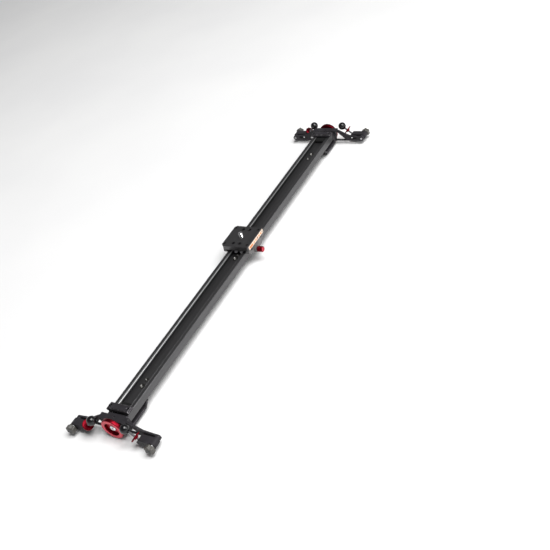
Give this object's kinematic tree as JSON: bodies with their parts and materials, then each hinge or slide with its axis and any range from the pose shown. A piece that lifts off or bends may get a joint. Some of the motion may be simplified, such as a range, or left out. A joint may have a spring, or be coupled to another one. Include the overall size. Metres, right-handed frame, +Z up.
{
  "type": "camera slider",
  "caption": "Metre-long camera slider: slotted rail, wheeled carriage with brake, end brackets with round ports and folding levelling legs.",
  "frame": {"origin": "on the surface the slider stands on, under the middle of the rail", "axes": "+X along the rail to its far end, +Y to the left side, +Z up"},
  "size_m": [1.0366, 0.211, 0.065],
  "materials": {
    "anodised_black": "black anodised, satin, brushed along the rail",
    "cast_black": "black powder coat, slightly warm grey",
    "red_anodised": "bright red anodised",
    "polished_steel": "bright turned steel",
    "bearing_steel": "ground bearing steel",
    "screw_steel": "threaded, dark zinc",
    "insert_steel": "turned steel",
    "plastic_black": "moulded black plastic, fine grain",
    "nylon_black": "black nylon",
    "rubber_black": "matt black rubber",
    "rubber_gloss": "smooth glossy black rubber",
    "label_orange": "printed strip, plain orange"
  },
  "bodies": {
    "frame": {"rail_base": "anodised_black", "rail_wall_left": "anodised_black", "rail_wall_right": "anodised_black", "insert_near_large": "insert_steel", "insert_near_small": "insert_steel", "insert_centre_large": "insert_steel", "insert_centre_small": "insert_steel", "insert_far_small": "insert_steel", "insert_far_large": "insert_steel", "bumper_bar_near": "cast_black", "rubber_stop_near": "rubber_black", "end_bracket_near": "cast_black", "wing_plate_near": "cast_black", "end_ring_near": "red_anodised", "ring_bush_near": "polished_steel", "slot_screw_near_left": "polished_steel", "slot_screw_near_right": "polished_steel", "bumper_bar_far": "cast_black", "rubber_stop_far": "rubber_black", "end_bracket_far": "cast_black", "wing_plate_far": "cast_black", "end_ring_far": "red_anodised", "ring_bush_far": "polished_steel", "slot_screw_far_left": "polished_steel", "slot_screw_far_right": "polished_steel"},
    "carriage": {"carriage_plate": "anodised_black", "carriage_skirt_left": "cast_black", "carriage_skirt_right": "cast_black", "label_strip": "label_orange", "camera_screw": "polished_steel", "roller_axle_near_left": "polished_steel", "roller_axle_near_right": "polished_steel", "roller_axle_far_left": "polished_steel", "roller_axle_far_right": "polished_steel"},
    "roller_near_left": {"roller_near_left": "bearing_steel"},
    "roller_near_right": {"roller_near_right": "bearing_steel"},
    "roller_far_left": {"roller_far_left": "bearing_steel"},
    "roller_far_right": {"roller_far_right": "bearing_steel"},
    "brake_knob": {"brake_knob": "red_anodised"},
    "brake_shoe": {"brake_shoe": "nylon_black"},
    "leg_near_left": {"leg_block_near_left": "cast_black"},
    "clamp_near_left": {"clamp_knob_near_left": "plastic_black"},
    "foot_near_left": {"level_screw_near_left": "screw_steel", "foot_ball_near_left": "rubber_gloss"},
    "nut_near_left": {"lock_nut_near_left": "red_anodised"},
    "leg_near_right": {"leg_block_near_right": "cast_black"},
    "clamp_near_right": {"clamp_knob_near_right": "plastic_black"},
    "foot_near_right": {"level_screw_near_right": "screw_steel", "foot_ball_near_right": "rubber_gloss"},
    "nut_near_right": {"lock_nut_near_right": "red_anodised"},
    "leg_far_left": {"leg_block_far_left": "cast_black"},
    "clamp_far_left": {"clamp_knob_far_left": "plastic_black"},
    "foot_far_left": {"level_screw_far_left": "screw_steel", "foot_ball_far_left": "rubber_gloss"},
    "nut_far_left": {"lock_nut_far_left": "red_anodised"},
    "leg_far_right": {"leg_block_far_right": "cast_black"},
    "clamp_far_right": {"clamp_knob_far_right": "plastic_black"},
    "foot_far_right": {"level_screw_far_right": "screw_steel", "foot_ball_far_right": "rubber_gloss"},
    "nut_far_right": {"lock_nut_far_right": "red_anodised"}
  },
  "joints": [
    {"name": "carriage_slide", "type": "slide", "parent": "frame", "child": "carriage", "axis": [1, 0, 0], "range_m": [-0.438, 0.377]},
    {"name": "roller_near_left_spin", "type": "hinge", "parent": "carriage", "child": "roller_near_left", "pos_m": [0.0065, 0.0081, 0.0345], "axis": [0, 0, 1], "range_deg": [-5500, 5500]},
    {"name": "roller_near_right_spin", "type": "hinge", "parent": "carriage", "child": "roller_near_right", "pos_m": [0.0065, -0.0081, 0.0345], "axis": [0, 0, 1], "range_deg": [-5500, 5500]},
    {"name": "roller_far_left_spin", "type": "hinge", "parent": "carriage", "child": "roller_far_left", "pos_m": [0.0545, 0.0081, 0.0345], "axis": [0, 0, 1], "range_deg": [-5500, 5500]},
    {"name": "roller_far_right_spin", "type": "hinge", "parent": "carriage", "child": "roller_far_right", "pos_m": [0.0545, -0.0081, 0.0345], "axis": [0, 0, 1], "range_deg": [-5500, 5500]},
    {"name": "brake_knob_turn", "type": "hinge", "parent": "carriage", "child": "brake_knob", "pos_m": [0.022, -0.04, 0.031], "axis": [0, 1, 0], "range_deg": [0, 270]},
    {"name": "brake_shoe_press", "type": "slide", "parent": "carriage", "child": "brake_shoe", "axis": [0, 1, 0], "range_m": [0, 0.00078]},
    {"name": "leg_swing_near_left", "type": "hinge", "parent": "frame", "child": "leg_near_left", "pos_m": [-0.5, 0.095, 0.016], "axis": [1, 0, 0], "range_deg": [0, 134]},
    {"name": "clamp_turn_near_left", "type": "hinge", "parent": "leg_near_left", "child": "clamp_near_left", "pos_m": [-0.512, 0.095, 0.016], "axis": [-1, 0, 0], "range_deg": [0, 360]},
    {"name": "foot_level_near_left", "type": "slide", "parent": "leg_near_left", "child": "foot_near_left", "axis": [0, -0.7239, 0.6899], "range_m": [0, 0.01]},
    {"name": "lock_nut_run_near_left", "type": "slide", "parent": "foot_near_left", "child": "nut_near_left", "axis": [0, -0.7239, 0.6899], "range_m": [-0.003, 0.0125]},
    {"name": "leg_swing_near_right", "type": "hinge", "parent": "frame", "child": "leg_near_right", "pos_m": [-0.5, -0.095, 0.016], "axis": [-1, 0, 0], "range_deg": [0, 134]},
    {"name": "clamp_turn_near_right", "type": "hinge", "parent": "leg_near_right", "child": "clamp_near_right", "pos_m": [-0.512, -0.095, 0.016], "axis": [-1, 0, 0], "range_deg": [0, 360]},
    {"name": "foot_level_near_right", "type": "slide", "parent": "leg_near_right", "child": "foot_near_right", "axis": [0, 0.7239, 0.6899], "range_m": [0, 0.01]},
    {"name": "lock_nut_run_near_right", "type": "slide", "parent": "foot_near_right", "child": "nut_near_right", "axis": [0, 0.7239, 0.6899], "range_m": [-0.003, 0.0125]},
    {"name": "leg_swing_far_left", "type": "hinge", "parent": "frame", "child": "leg_far_left", "pos_m": [0.5, 0.095, 0.016], "axis": [1, 0, 0], "range_deg": [0, 134]},
    {"name": "clamp_turn_far_left", "type": "hinge", "parent": "leg_far_left", "child": "clamp_far_left", "pos_m": [0.512, 0.095, 0.016], "axis": [1, 0, 0], "range_deg": [0, 360]},
    {"name": "foot_level_far_left", "type": "slide", "parent": "leg_far_left", "child": "foot_far_left", "axis": [0, -0.7239, 0.6899], "range_m": [0, 0.01]},
    {"name": "lock_nut_run_far_left", "type": "slide", "parent": "foot_far_left", "child": "nut_far_left", "axis": [0, -0.7239, 0.6899], "range_m": [-0.003, 0.0125]},
    {"name": "leg_swing_far_right", "type": "hinge", "parent": "frame", "child": "leg_far_right", "pos_m": [0.5, -0.095, 0.016], "axis": [-1, 0, 0], "range_deg": [0, 134]},
    {"name": "clamp_turn_far_right", "type": "hinge", "parent": "leg_far_right", "child": "clamp_far_right", "pos_m": [0.512, -0.095, 0.016], "axis": [1, 0, 0], "range_deg": [0, 360]},
    {"name": "foot_level_far_right", "type": "slide", "parent": "leg_far_right", "child": "foot_far_right", "axis": [0, 0.7239, 0.6899], "range_m": [0, 0.01]},
    {"name": "lock_nut_run_far_right", "type": "slide", "parent": "foot_far_right", "child": "nut_far_right", "axis": [0, 0.7239, 0.6899], "range_m": [-0.01, 0.0055]}
  ],
  "couplings": [
    {"joint": "roller_near_left_spin", "follows": "carriage_slide", "rad_per_m": 212.77},
    {"joint": "roller_near_right_spin", "follows": "carriage_slide", "rad_per_m": -212.77},
    {"joint": "roller_far_left_spin", "follows": "carriage_slide", "rad_per_m": 212.77},
    {"joint": "roller_far_right_spin", "follows": "carriage_slide", "rad_per_m": -212.77},
    {"joint": "brake_shoe_press", "follows": "brake_knob_turn", "m_per_rad": 0.00015915}
  ]
}
